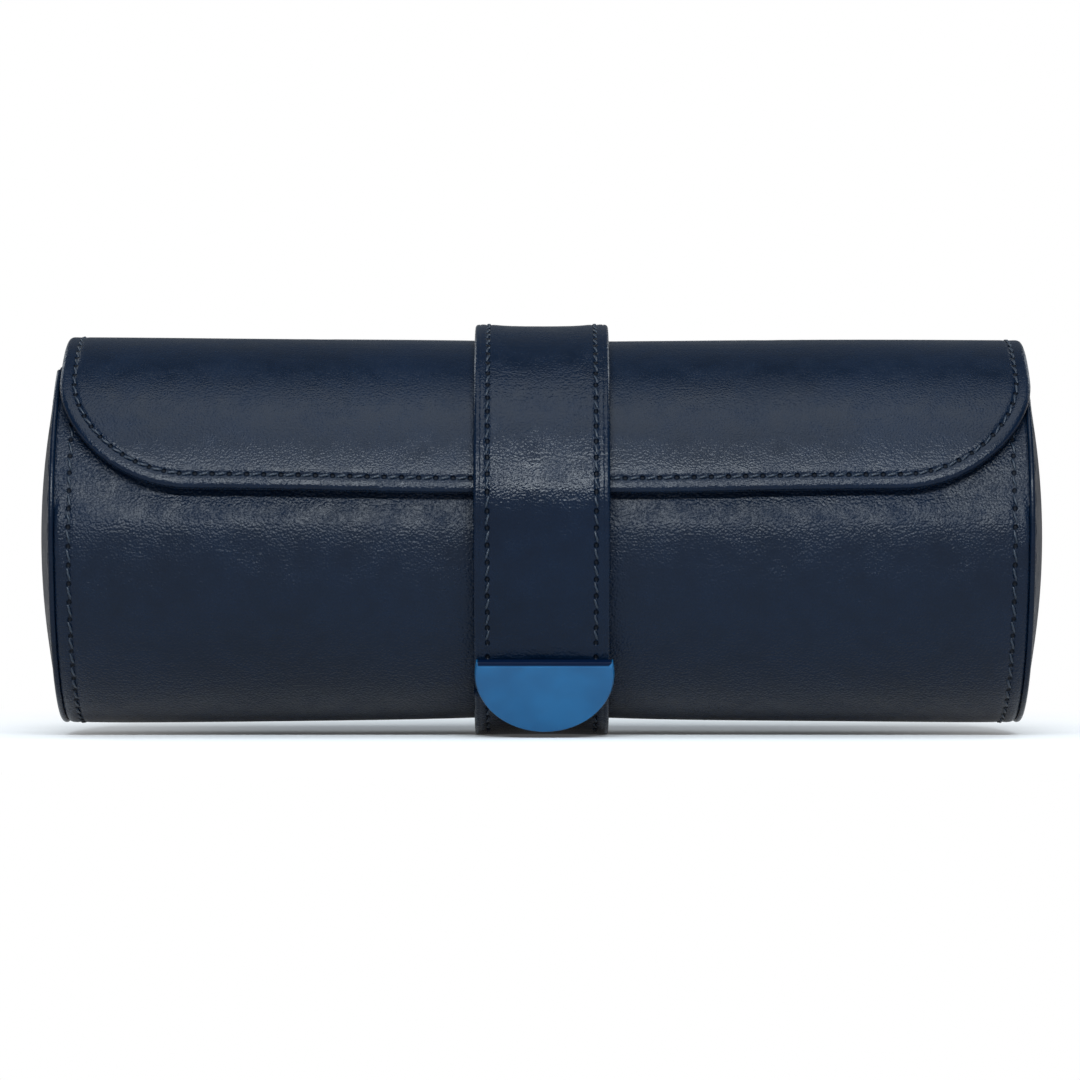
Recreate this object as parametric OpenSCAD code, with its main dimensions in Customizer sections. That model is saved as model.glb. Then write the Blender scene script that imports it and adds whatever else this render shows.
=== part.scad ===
// Watch travel case: a leather roll that lies on its side and holds three watches on cushions.
// X runs along the roll, the front is toward -Y and +Z is up. The origin is the middle of the flat
// on the strap that the case rests on. Angles round the roll are degrees from the front
// horizontal, over the top: 0 is the front, 90 the top, 180 the back and -90 the bottom.

/* [Roll] */
// Length of the leather tube between its cut ends
case_len = 188.4; // [170:0.2:210]
// Outer radius of the tube's leather
case_r = 37; // [36.6:0.1:37.2]
// Thickness of the tube's leather
leather_t = 1; // [0.8:0.1:1.2]
// Thickness of the stiff board under the leather
board_t = 1.4; // [1:0.1:1.8]
// Thickness of the suede lining
lining_t = 0.8; // [0.6:0.1:1]
// Angle of the front lip of the mouth
lip_angle = 63.5; // [58:0.5:66]
// Angle of the back lip of the mouth
back_lip_angle = 178; // [176:0.5:180]

/* [Flap] */
// Thickness of the flap
flap_t = 2.6; // [2.4:0.1:3]
// Air between the flap and the tube
flap_gap = 0.2; // [0.15:0.05:0.3]
// Angle of the flap's front edge
flap_edge_angle = 14; // [12:0.5:18]
// Radius of the flap's lower corners, measured on the flat sheet
flap_corner_r = 26; // [18:1:32]
// Width of the turned edge round the flap
flap_turn = 2; // [1.5:0.1:3]
// Angle of the fold at the back on which the flap turns
fold_angle = 184; // [182:0.5:186]
// Gap left at a fold between the two stiff sides
fold_gap = 0.4; // [0.3:0.05:0.6]
// Angle at which the sewn strip below the back fold ends
back_strip_end = 196; // [193:0.5:200]

/* [Strap] */
// Width of the strap
strap_w = 26.4; // [22:0.2:32]
// Thickness of the strap's face leather
strap_face_t = 1.2; // [1:0.1:1.4]
// Thickness of the strap's backing leather
strap_back_t = 1.4; // [1.2:0.1:1.6]
// Angle at which the upper strap ends behind the roll
upper_strap_end = 175.5; // [172:0.5:177]
// Angle of the tongue's seat under the plate, below the front horizontal
seat_angle = 34; // [32:0.5:36]
// Air between the tongue and the tube at the seat
tongue_gap = 0.25; // [0.2:0.05:0.4]
// Length of the tongue's straight end
tongue_end = 10; // [8:0.5:10.5]
// Radius of the tongue's end corners
tongue_corner_r = 3; // [2:0.5:5]
// Angle below the front horizontal at which the lower strap starts
lower_strap_start = 50.5; // [50:0.5:56]
// Angle below the front horizontal at which the lower strap ends behind the roll
lower_strap_end = 163; // [155:0.5:163]
// Depth by which the strap is pressed flat where the case stands
strap_press = 0.4; // [0.2:0.05:0.6]

/* [Clasp] */
// Radius of the half-moon plate
plate_r = 13.56; // [11:0.1:14]
// Thickness of the half-moon plate
plate_t = 1.6; // [1.2:0.1:2]
// Width of the bevel along the plate's straight edge
plate_bevel = 0.7; // [0.2:0.1:1]
// Distance of the plate's straight edge above its round centre
plate_chord = 2.4; // [0:0.2:4]
// Distance of the plate's round centre below the seat line
plate_drop = 4.1; // [3:0.1:5]
// Radius of a plate rivet
rivet_r = 0.9; // [0.7:0.1:1.2]
// Distance between the two plate rivets
rivet_pitch = 14; // [10:0.5:18]
// Depth by which each rivet stands in the plate
rivet_in_plate = 0.9; // [0.6:0.1:1.2]
// Leather left under each rivet's foot
rivet_foot = 0.6; // [0.4:0.1:1]
// Distance of the tongue's magnet below the seat line
magnet_down = 2; // [0:0.2:4]
// Radius of a closing magnet
magnet_r = 4; // [3:0.5:5]
// Thickness of a closing magnet
magnet_t = 1; // [0.8:0.1:1.2]

/* [Ends] */
// Height of the padded dome on each end
dome_h = 4; // [3:0.2:6]
// Width of the welt that closes each end
welt_w = 1.2; // [1:0.1:1.6]
// Thickness of the leather over each dome
dome_leather_t = 1; // [0.8:0.1:1.2]
// Distance from the tube's outside in to the foot of each dome
dome_inset = 3; // [2.8:0.1:4]

/* [Inside] */
// Radius of a watch cushion
cushion_r = 25; // [22:0.5:25.5]
// Room between a cushion's end and the divider beside it
cushion_end_gap = 2.3; // [1:0.1:4]
// Distance of the cushions' axis below the roll's axis
cushion_drop = 3.5; // [2.5:0.1:4]
// Thickness of the suede round a cushion's core
cushion_cover_t = 1.2; // [1:0.1:2]
// Thickness of a padded divider
divider_t = 4; // [3:0.2:5]
// Thickness of the board inside a divider
divider_board_t = 1.6; // [1.2:0.1:2]
// Padding between the edge of a divider's board and the divider's edge
divider_edge = 2; // [1:0.2:4]
// Radius of the rounding at a cushion's ends
cover_round = 6; // [3:0.5:10]
// Air between soft pieces that only rest on each other
soft_gap = 0.3; // [0.2:0.05:0.5]
// Half of the angle that the padded bed covers under the cushions
bed_half_angle = 48; // [40:1:55]

/* [Hidden] */
$fn = 96;

NAVY = [0.13, 0.17, 0.24];
NAVY_DARK = [0.09, 0.12, 0.18];
SUEDE = [0.42, 0.43, 0.46];
BOARD = [0.52, 0.47, 0.40];
FOAM = [0.75, 0.73, 0.66];
BLUE = [0.11, 0.36, 0.58];
STEEL = [0.72, 0.73, 0.75];

// Room left between two sheets that are glued or sewn together.
strap_seat = 0.05;
// How far a cutting shape stands past what it cuts.
past = 4;
touch = 0.02;

// Radii of the layers, from the outside in.
case_leather_r = case_r - leather_t;
case_board_r = case_leather_r - board_t;
lining_r = case_board_r - lining_t;
flap_in_r = case_r + flap_gap;
flap_out_r = flap_in_r + flap_t;
flap_leather_in_r = flap_out_r - leather_t;
flap_lining_out_r = flap_in_r + lining_t;
strap_t = strap_face_t + strap_back_t;
upper_strap_in_r = flap_out_r + strap_seat;
upper_strap_out_r = upper_strap_in_r + strap_t;

// The two folds: each turns about a line just outside the leather, so that it opens on the inside.
fold_out = 0.15;
fold_r = flap_out_r + fold_out;
tongue_fold_r = upper_strap_out_r + fold_out;
fold_half_deg = deg(fold_gap / 2, flap_out_r);

// The tongue is one arc, from the upper strap's end to its seat on the tube.
seat_in_r = case_r + tongue_gap;
seat_out_r = seat_in_r + strap_t;
// The arc's centre lies behind the roll's axis, in line with the seat.
tongue_turn = flap_edge_angle + seat_angle;
tongue_back = (pow(upper_strap_out_r, 2) - pow(seat_out_r, 2))
    / (2 * (seat_out_r - upper_strap_out_r * cos(tongue_turn)));
tongue_in_r = seat_in_r + tongue_back;
tongue_out_r = seat_out_r + tongue_back;
tongue_c = [tongue_back * cos(seat_angle), tongue_back * sin(seat_angle)];
// Angle of the tongue's upper end, seen from the arc's own centre.
tongue_top = atan2(upper_strap_out_r * sin(flap_edge_angle) - tongue_c[1],
    upper_strap_out_r * cos(flap_edge_angle) + tongue_c[0]);
tongue_top_gap = deg(fold_gap / 2, tongue_out_r);

lower_strap_in_r = case_r;
lower_strap_out_r = case_r + 2 * strap_seat + strap_t;
lower_face_in_r = lower_strap_out_r - strap_face_t;
// Height of the roll's axis above the table.
axis_h = lower_strap_out_r - strap_press;

end_x = case_len / 2;
inner_x = end_x - lining_t;
// The end board stops where the welt is folded in, and carries the dome.
end_board_r = case_r - dome_inset;
dome_base_r = end_board_r;
bay_len = (2 * inner_x - 2 * divider_t) / 3;
bay_pitch = bay_len + divider_t;
cushion_len = bay_len - 2 * cushion_end_gap;
divider_r = lining_r - soft_gap;
bed_out_r = lining_r - strap_seat;
big = 400;

// Degrees of an arc of the given length.
function deg(arc, r) = arc / r * 180 / PI;

// A point of the roll: place along X, angle and radius.
function on_roll(x, a, r) = [x, -r * cos(a), axis_h + r * sin(a)];

// Puts a shape whose axis is Z on the roll's axis, with local X toward the front and Y up.
module round_axis(c = [0, 0])
    translate([0, c[0], axis_h + c[1]])
        multmatrix([[0, 0, -1, 0], [-1, 0, 0, 0], [0, 1, 0, 0], [0, 0, 0, 1]]) children();

// A shell of the roll between two radii and two angles, centred on x.
module sector(r_in, r_out, a_from, a_to, len, x = 0, c = [0, 0])
    round_axis(c) rotate([0, 0, a_from]) rotate_extrude(angle = a_to - a_from)
        translate([r_in, -x - len / 2]) square([r_out - r_in, len]);

// A full disc or ring square to the roll's axis, from x_in outward to x_out on one side.
module end_disc(r_out, x_in, x_out, side, r_in = 0)
    round_axis() translate([0, 0, side > 0 ? -x_out : x_in]) difference() {
        cylinder(h = x_out - x_in, r = r_out);
        if (r_in > 0) translate([0, 0, -1]) cylinder(h = x_out - x_in + 2, r = r_in);
    }

// Frame on the roll: local Z outward, local X along the roll, local Y up and over the top.
module at_angle(a, r, x = 0)
    translate(on_roll(x, a, r)) rotate([90 - a, 0, 0]) children();

// What is cut from a flap sheet outside one of its rounded corners. The section is swept round
// the corner on the flat sheet, and each of its points is carried straight out from the roll.
module corner_waste(side, inset) {
    steps = 10;
    r = flap_corner_r - inset;
    reach = 2 * flap_corner_r;
    cx = end_x - flap_corner_r + 2 * touch;
    centre_angle = flap_edge_angle + deg(flap_corner_r - 2 * touch, flap_out_r);
    low = flap_in_r - past;
    high = flap_out_r + past;
    function spot(t, d, rad) = on_roll(side * (cx + d * cos(t)),
        centre_angle - deg(d * sin(t), flap_out_r), rad);
    pts = [for (i = [0:steps]) let (t = 90 * i / steps)
        each [spot(t, r, low), spot(t, reach, low), spot(t, reach, high), spot(t, r, high)]];
    walls = [for (i = [0:steps - 1]) for (k = [0:3]) let (a = 4 * i + k, b = 4 * i + (k + 1) % 4)
        each [[a, b, b + 4], [a, b + 4, a + 4]]];
    last = 4 * steps;
    ends = [[2, 1, 0], [3, 2, 0], [last, last + 1, last + 2], [last, last + 2, last + 3]];
    faces = concat(walls, ends);
    polyhedron(pts, side < 0 ? faces : [for (f = faces) [f[2], f[1], f[0]]]);
}

// A sheet of the flap between two radii, drawn in from the flap's outline.
module flap_sheet(r_in, r_out, inset)
    difference() {
        sector(r_in, r_out, flap_edge_angle + deg(inset, flap_out_r), fold_angle - fold_half_deg,
            case_len - 2 * inset);
        for (side = [-1, 1]) corner_waste(side, inset);
    }

module case_board() color(BOARD)
    difference() {
        sector(case_board_r, case_leather_r, back_lip_angle - 360, lip_angle - 2, case_len);
        magnet_pocket();
    }
module case_leather() color(NAVY)
    sector(case_leather_r, case_r, back_lip_angle - 360, lip_angle - 2, case_len);
module case_lining() color(SUEDE)
    sector(lining_r, case_board_r, back_lip_angle - 360, lip_angle - 2, case_len);
// The leather is turned over the front lip in a round edge.
module front_lip_binding() color(NAVY_DARK)
    intersection() {
        union() {
            sector(lining_r, case_r, lip_angle - 2, lip_angle - 1.5, case_len);
            at_angle(lip_angle - 1.5, (lining_r + case_r) / 2) rotate([0, 90, 0])
                cylinder(h = case_len, r = (case_r - lining_r) / 2, center = true);
        }
        sector(lining_r - 1, case_r + 1, lip_angle - 2, lip_angle + 4, case_len);
    }

module back_strip_leather() color(NAVY)
    sector(flap_leather_in_r, flap_out_r, fold_angle + fold_half_deg, back_strip_end,
        case_len - 2 * flap_turn);
module back_strip_filler() color(BOARD)
    sector(case_r, flap_leather_in_r, fold_angle + fold_half_deg, back_strip_end,
        case_len - 2 * flap_turn);

// The lower strap runs round the bottom of the tube and is pressed flat where the case stands.
module lower_strap(r_in, r_out)
    intersection() {
        sector(r_in, r_out, -lower_strap_end, -lower_strap_start, strap_w);
        translate([-big / 2, -big / 2, 0]) cube(big);
    }
module lower_strap_face() color(NAVY) lower_strap(lower_face_in_r, lower_strap_out_r);
module lower_strap_backing() color(NAVY_DARK) lower_strap(lower_strap_in_r, lower_face_in_r);

// The magnet in the tube lies in its board, straight behind the one in the tongue.
magnet_angle = -seat_angle - atan(magnet_down / seat_in_r);
magnet_play = 0.1;
module magnet_pocket()
    at_angle(magnet_angle, case_board_r - past)
        cylinder(h = board_t + 2 * past, r = magnet_r + magnet_play);
module case_magnet() color(STEEL)
    at_angle(magnet_angle, case_board_r + magnet_play) cylinder(h = magnet_t, r = magnet_r);

module end_board(side) color(BOARD) end_disc(end_board_r, end_x, end_x + welt_w, side);
module end_lining(side) color(SUEDE) end_disc(lining_r, inner_x, end_x, side);
// The welt follows the tube's cut end, from the back lip under the roll to the front lip.
module end_welt(side) color(NAVY_DARK)
    round_axis() mirror([0, 0, side > 0 ? 1 : 0]) rotate([0, 0, back_lip_angle - 360])
        rotate_extrude(angle = lip_angle - back_lip_angle + 360)
        translate([end_board_r, end_x]) {
            square([case_r - end_board_r - welt_w / 2, welt_w]);
            translate([case_r - end_board_r - welt_w / 2, welt_w / 2]) circle(d = welt_w);
        }
// A shallow ball cap on the end, its base circle given by its radius.
module dome(side, base_r, h) {
    ball = (base_r * base_r + h * h) / (2 * h);
    base = end_x + welt_w;
    round_axis() mirror([0, 0, side > 0 ? 1 : 0]) intersection() {
        translate([0, 0, base + h - ball]) sphere(r = ball, $fn = 360);
        translate([0, 0, base]) cylinder(h = h + 1, r = base_r + 1);
    }
}
module end_pad(side) color(FOAM)
    dome(side, dome_base_r - 1.5 * dome_leather_t, dome_h - dome_leather_t);
module end_leather(side) color(NAVY)
    difference() {
        dome(side, dome_base_r, dome_h);
        dome(side, dome_base_r - 1.5 * dome_leather_t, dome_h - dome_leather_t);
    }

// The padded bed fills the room between the cushions and the lining.
module bed(bay) color(SUEDE)
    difference() {
        sector(cushion_r - past, bed_out_r, -90 - bed_half_angle, -90 + bed_half_angle,
            bay_len - soft_gap, bay * bay_pitch);
        round_axis([0, -cushion_drop])
            cylinder(h = big, r = cushion_r + soft_gap, center = true);
    }

module divider_disc(side, r, t)
    round_axis() translate([0, 0, -side * bay_pitch / 2])
        cylinder(h = t, r = r, center = true);
module divider(side) color(SUEDE)
    difference() {
        divider_disc(side, divider_r, divider_t);
        divider_disc(side, divider_r - divider_edge, divider_board_t);
    }
module divider_board(side) color(BOARD)
    divider_disc(side, divider_r - divider_edge, divider_board_t);

// The flap, its layers laid inside the turned edge.
module flap_board() color(BOARD) flap_sheet(flap_lining_out_r, flap_leather_in_r, flap_turn);
module flap_leather() color(NAVY) flap_sheet(flap_leather_in_r, flap_out_r, flap_turn);
module flap_lining() color(SUEDE) flap_sheet(flap_in_r, flap_lining_out_r, flap_turn);
module flap_edge() color(NAVY_DARK)
    difference() {
        flap_sheet(flap_in_r, flap_out_r, 0);
        difference() {
            sector(flap_in_r - 1, flap_out_r + 1, flap_edge_angle + deg(flap_turn, flap_out_r),
                fold_angle + 2, case_len - 2 * flap_turn);
            for (side = [-1, 1]) corner_waste(side, flap_turn);
        }
    }
module upper_strap(r_in, r_out)
    sector(r_in, r_out, flap_edge_angle + deg(fold_gap / 2, upper_strap_out_r), upper_strap_end,
        strap_w);
module upper_strap_face() color(NAVY)
    upper_strap(upper_strap_out_r - strap_face_t, upper_strap_out_r);
module upper_strap_backing() color(NAVY_DARK)
    upper_strap(upper_strap_in_r, upper_strap_out_r - strap_face_t);

// One layer of the tongue: the arc, then the straight end with its rounded corners. The layer
// is given by its two distances out from the tongue's inner side.
module tongue_layer(t_in, t_out) {
    sector(tongue_in_r + t_in, tongue_in_r + t_out, -seat_angle, tongue_top - tongue_top_gap,
        strap_w, 0, tongue_c);
    at_angle(-seat_angle, seat_in_r + t_in) linear_extrude(t_out - t_in) {
        translate([-strap_w / 2, -tongue_end + tongue_corner_r])
            square([strap_w, tongue_end - tongue_corner_r + touch]);
        translate([-strap_w / 2 + tongue_corner_r, -tongue_end])
            square([strap_w - 2 * tongue_corner_r, tongue_end]);
        for (side = [-1, 1])
            translate([side * (strap_w / 2 - tongue_corner_r), -tongue_end + tongue_corner_r])
                circle(r = tongue_corner_r);
    }
}
// The rivets stand on the seat plane; the magnet lies in the backing, under the seat.
module at_seat(out, x = 0, down = 0)
    at_angle(-seat_angle, seat_in_r) translate([x, -down, out]) children();
magnet_in = 0.2;
module rivet_shafts()
    for (side = [-1, 1]) at_seat(rivet_foot, side * rivet_pitch / 2, plate_drop)
        cylinder(h = strap_t - rivet_foot + rivet_in_plate, r = rivet_r);
module magnet_disc()
    at_seat(magnet_in, 0, magnet_down) cylinder(h = magnet_t, r = magnet_r);
module tongue_face() color(NAVY)
    difference() {
        tongue_layer(strap_back_t, strap_t);
        rivet_shafts();
    }
module tongue_backing() color(NAVY_DARK)
    difference() {
        tongue_layer(0, strap_back_t);
        rivet_shafts();
        magnet_disc();
    }
module tongue_magnet() color(STEEL) magnet_disc();
// The plate is a disc cut straight across, with a bevel along the cut.
module half_moon_plate() color(BLUE)
    difference() {
        at_seat(strap_t, 0, plate_drop) linear_extrude(plate_t) intersection() {
            circle(r = plate_r);
            translate([-big / 2, plate_chord - big]) square(big);
        }
        at_seat(strap_t + plate_t, 0, plate_drop - plate_chord) rotate([45, 0, 0])
            translate([-plate_r, -plate_bevel / sqrt(2), -past]) cube([2 * plate_r, past, 2 * past]);
        rivet_shafts();
    }
module plate_rivets() color(STEEL) rivet_shafts();

// A watch cushion: a round pillow, its ends rounded over.
module pillow(bay, r, len, round_r)
    round_axis([0, -cushion_drop]) translate([0, 0, -bay * bay_pitch]) rotate_extrude() {
        translate([0, -len / 2]) square([r - round_r, len]);
        translate([0, -len / 2 + round_r]) square([r, len - 2 * round_r]);
        for (side = [-1, 1]) translate([r - round_r, side * (len / 2 - round_r)])
            circle(r = round_r);
    }
module cushion_cover(bay) color(SUEDE)
    difference() {
        pillow(bay, cushion_r, cushion_len, cover_round);
        cushion_core(bay);
    }
module cushion_core(bay) color(FOAM)
    pillow(bay, cushion_r - cushion_cover_t, cushion_len - 2 * cushion_cover_t,
        cover_round - cushion_cover_t);

case_board();
case_leather();
case_lining();
front_lip_binding();
back_strip_leather();
back_strip_filler();
lower_strap_face();
lower_strap_backing();
case_magnet();
end_board(-1);  // left_end_board
end_lining(-1);  // left_end_lining
end_pad(-1);  // left_end_pad
end_leather(-1);  // left_end_leather
end_welt(-1);  // left_end_welt
end_board(1);  // right_end_board
end_lining(1);  // right_end_lining
end_pad(1);  // right_end_pad
end_leather(1);  // right_end_leather
end_welt(1);  // right_end_welt
bed(-1);  // bed_left
bed(0);  // bed_middle
bed(1);  // bed_right
divider(-1);  // divider_left
divider_board(-1);  // divider_left_board
divider(1);  // divider_right
divider_board(1);  // divider_right_board
flap_board();
flap_leather();
flap_lining();
flap_edge();
upper_strap_face();
upper_strap_backing();
tongue_face();
tongue_backing();
half_moon_plate();
plate_rivets();
tongue_magnet();
cushion_cover(-1);  // cushion_left
cushion_core(-1);  // cushion_left_core
cushion_cover(0);  // cushion_middle
cushion_core(0);  // cushion_middle_core
cushion_cover(1);  // cushion_right
cushion_core(1);  // cushion_right_core
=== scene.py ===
# %% [markdown]
# # A leather watch roll, dressed over its fixed frame
# The case is a stiff leather tube that lies on its side, closed by a flap and a strap with a
# magnetic half-moon plate. The frame already holds every hidden board and moving body, so each
# piece made here is the skin of one of them. Everything is worked out with numpy as surfaces of
# two parameters, in millimetres, and handed to Blender in metres.

# %% Load the frame
import math
import bmesh
import bpy
import numpy as np
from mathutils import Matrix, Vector


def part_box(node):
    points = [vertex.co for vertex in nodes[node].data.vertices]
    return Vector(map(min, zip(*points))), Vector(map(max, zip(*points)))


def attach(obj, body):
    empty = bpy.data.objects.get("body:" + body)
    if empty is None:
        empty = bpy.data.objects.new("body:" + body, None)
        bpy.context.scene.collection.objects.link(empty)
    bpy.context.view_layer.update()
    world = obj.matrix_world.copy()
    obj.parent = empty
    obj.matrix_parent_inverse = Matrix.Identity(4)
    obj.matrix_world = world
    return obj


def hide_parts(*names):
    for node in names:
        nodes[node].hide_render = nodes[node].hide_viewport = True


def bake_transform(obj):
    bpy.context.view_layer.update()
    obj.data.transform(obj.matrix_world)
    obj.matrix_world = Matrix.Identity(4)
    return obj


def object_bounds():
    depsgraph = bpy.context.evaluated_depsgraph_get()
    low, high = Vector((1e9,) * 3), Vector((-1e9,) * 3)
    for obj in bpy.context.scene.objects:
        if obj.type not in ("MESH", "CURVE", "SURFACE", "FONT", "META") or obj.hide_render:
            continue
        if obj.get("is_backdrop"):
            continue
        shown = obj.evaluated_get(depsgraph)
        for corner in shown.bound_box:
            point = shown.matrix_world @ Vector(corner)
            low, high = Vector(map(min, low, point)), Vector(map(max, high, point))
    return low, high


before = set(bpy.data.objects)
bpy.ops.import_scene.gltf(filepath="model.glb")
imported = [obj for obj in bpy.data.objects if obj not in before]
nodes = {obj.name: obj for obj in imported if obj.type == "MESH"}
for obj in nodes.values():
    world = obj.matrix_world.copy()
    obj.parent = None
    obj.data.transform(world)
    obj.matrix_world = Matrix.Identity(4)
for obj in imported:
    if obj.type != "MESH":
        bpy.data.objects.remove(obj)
cad_low, cad_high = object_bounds()
scene = bpy.context.scene
MM = 0.001
size = [round((b - a) / MM, 1) for a, b in zip(cad_low, cad_high)]
print("frame:", len(nodes), "nodes,", size, "mm")

# %% [markdown]
# ## Sizes taken from the frame
# A maker cuts the leather to the boards, not to a drawing. In the same way the radii and lengths
# below are read from the boxes of the frame's own solids, so the skins always fit them. Angles go
# round the roll in degrees: 0 is the front, 90 the top, 180 the back and -90 the table.

# %% Sizes from the frame
def box_mm(node):
    """Low and high corner of a frame node's box, in mm."""
    return [np.array(corner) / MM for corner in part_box(node)]


tube_low, tube_high = box_mm("case_leather")
tube_r = -tube_low[1]
axis_z = tube_low[2] + tube_r
half_len = tube_high[0]
flap_r = box_mm("flap_edge")[1][2] - axis_z
strap_half, _, strap_top = box_mm("upper_strap_face")[1]
strap_r = strap_top - axis_z
dome_x = -box_mm("left_end_leather")[0][0]
cushion_low, cushion_high = box_mm("cushion_middle")
LIP, FLAP_EDGE, FOLD, STRIP_END = 61.5, 14.0, 184.0, 196.0  # degrees round the roll
TUBE_END, SEAT, STRAP_BACK = -182, -34.0, 175.5
SEAM_IN = 2.8  # from a sewn edge to its stitches
STRAP_SEAM = 10.5  # from the strap's middle to its stitches
FRONT_CORNER, BACK_CORNER = 26, 6.6  # radii of the flap's corners
FOLD_LINE = np.array([0, 39.8527, axis_z - 2.7868])  # a point of each hinge line
TONGUE_LINE = np.array([0, -41.3346, axis_z + 10.3059])
print("axis", round(axis_z, 2), "tube", round(tube_r, 2), "flap", round(flap_r, 2),
      "strap", round(strap_r, 2), "half length", round(half_len, 2))

# %% [markdown]
# ## Tools for surfaces
# A grid of points is enough for any skin here: rows run along the piece and columns across it.
# One helper places points round the roll, one makes the faces of a grid, and one turns the arrays
# into a mesh, merges the seam, points the faces outwards and keeps a sewing attribute. That
# attribute says how far along a seam a point is, in stitches, and how far it lies from the seam.

# %% Surface tools
def around(x, angle, r):
    """Point of the roll in mm: (x, -r cos a, axis_z + r sin a)."""
    x, a, r = np.broadcast_arrays(x, np.radians(angle), r)
    return np.stack([x, -r * np.cos(a), axis_z + r * np.sin(a)], -1)


def grid_faces(rows, cols, loop_rows=False, loop_cols=False):
    """Quads (i,j), (i,j+1), (i+1,j+1), (i+1,j), with either direction closed on itself."""
    i, j = np.meshgrid(np.arange(rows if loop_rows else rows - 1),
                       np.arange(cols if loop_cols else cols - 1), indexing="ij")
    k, n = (i + 1) % rows, (j + 1) % cols
    return np.stack([i * cols + j, i * cols + n, k * cols + n, k * cols + j], -1).reshape(-1, 4)


def make_piece(name, points, faces, material, sewing=None, caps=()):
    """A closed mesh from points in mm and index arrays: merged, turned outwards, shaded smooth."""
    mesh = bpy.data.meshes.new(name)
    flat = np.asarray(points, float).reshape(-1, 3) * MM
    mesh.from_pydata(flat.tolist(), [], list(map(list, faces)) + [list(map(int, c)) for c in caps])
    if sewing is not None:
        layer = mesh.attributes.new("sewing", "FLOAT_VECTOR", "POINT")
        layer.data.foreach_set("vector", np.asarray(sewing, np.float32).ravel())
    bm = bmesh.new()
    bm.from_mesh(mesh)
    bmesh.ops.remove_doubles(bm, verts=bm.verts, dist=2e-6)
    bmesh.ops.dissolve_degenerate(bm, edges=bm.edges, dist=1e-7)
    bmesh.ops.recalc_face_normals(bm, faces=bm.faces)
    bm.to_mesh(mesh)
    bm.free()
    mesh.polygons.foreach_set("use_smooth", np.ones(len(mesh.polygons), bool))
    mesh.materials.append(material)
    piece = bpy.data.objects.new(name, mesh)
    scene.collection.objects.link(piece)
    return piece


# %% [markdown]
# ## Finishes
# Full-grain leather is a dyed navy with a satin wax finish. Its grain is thousands of shallow
# pebbles about half a millimetre across, so a cell pattern drives the bump, a slower noise changes
# the dye and the polish a little, and a stretched noise gives the fine creases that run along the
# roll. Where a seam is sewn, the needle holes come from the sewing attribute, so they stay on the
# seam however the leather bends. The holes are sunk by the bump and painted near black, which is
# painted shade in them.

# %% Node helper
class Nodes:
    """A short way to write a node tree: add a node, set its inputs, and link what is passed in."""

    def __init__(self, name):
        self.material = bpy.data.materials.new(name)
        self.material.use_nodes = True
        self.tree = self.material.node_tree
        self.tree.nodes.clear()
        self.out = self.tree.nodes.new("ShaderNodeOutputMaterial")

    def add(self, kind, inputs=None, **settings):
        """A node of the kind given: a socket among its inputs is linked, another value is set."""
        node = self.tree.nodes.new("ShaderNode" + kind)
        for key, value in settings.items():
            setattr(node, key, value)
        for key, value in (inputs or {}).items():
            if isinstance(value, bpy.types.NodeSocket):
                self.tree.links.new(value, node.inputs[key])
            else:
                node.inputs[key].default_value = value
        return node

    def math(self, operation, a, b=0.0):
        return self.add("Math", {0: a, 1: b}, operation=operation).outputs[0]

    def remap(self, value, low, high, to_low=0.0, to_high=1.0, way="LINEAR"):
        return self.add("MapRange", {"Value": value, "From Min": low, "From Max": high,
                                     "To Min": to_low, "To Max": to_high},
                        interpolation_type=way).outputs["Result"]

    def place(self, scale=(1, 1, 1), turn=(0, 0, 0)):
        """Object coordinates, scaled and turned."""
        here = self.add("TexCoord").outputs["Object"]
        moved = self.add("Mapping", {"Vector": here, "Scale": scale, "Rotation": turn})
        return moved.outputs["Vector"]

    def noise(self, where, size, detail=3.0, rough=0.55):
        """Noise whose clouds are size mm across."""
        return self.add("TexNoise", {"Vector": where, "Scale": 1 / (size * MM), "Detail": detail,
                                     "Roughness": rough}).outputs["Fac"]

    def sewing(self):
        """The sewing attribute's parts: stitches along the seam, and mm aside from it."""
        layer = self.add("Attribute", attribute_name="sewing").outputs["Vector"]
        return self.add("SeparateXYZ", {0: layer}).outputs

    def mix(self, fac, a, b):
        return self.add("Mix", {0: fac, 6: a, 7: b}, data_type="RGBA").outputs[2]

    def bump(self, height, strength, depth, under=None):
        """A height of depth mm as a change of the normal, on top of the bump under it."""
        inputs = {"Height": height, "Strength": strength, "Distance": depth * MM}
        if under is not None:
            inputs["Normal"] = under
        return self.add("Bump", inputs).outputs["Normal"]

    def finish(self, **sockets):
        """The material, with a principled shader whose sockets are named with underscores."""
        shader = self.add("BsdfPrincipled", {k.replace("_", " "): v for k, v in sockets.items()})
        self.tree.links.new(shader.outputs[0], self.out.inputs["Surface"])
        return self.material


# %% Leather
NAVY, EDGE_NAVY = (0.0011, 0.0052, 0.0145, 1), (0.0010, 0.0046, 0.0126, 1)
PITCH = {"flap": 3.3, "strap": 3.2, "ends": 3.7}


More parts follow.
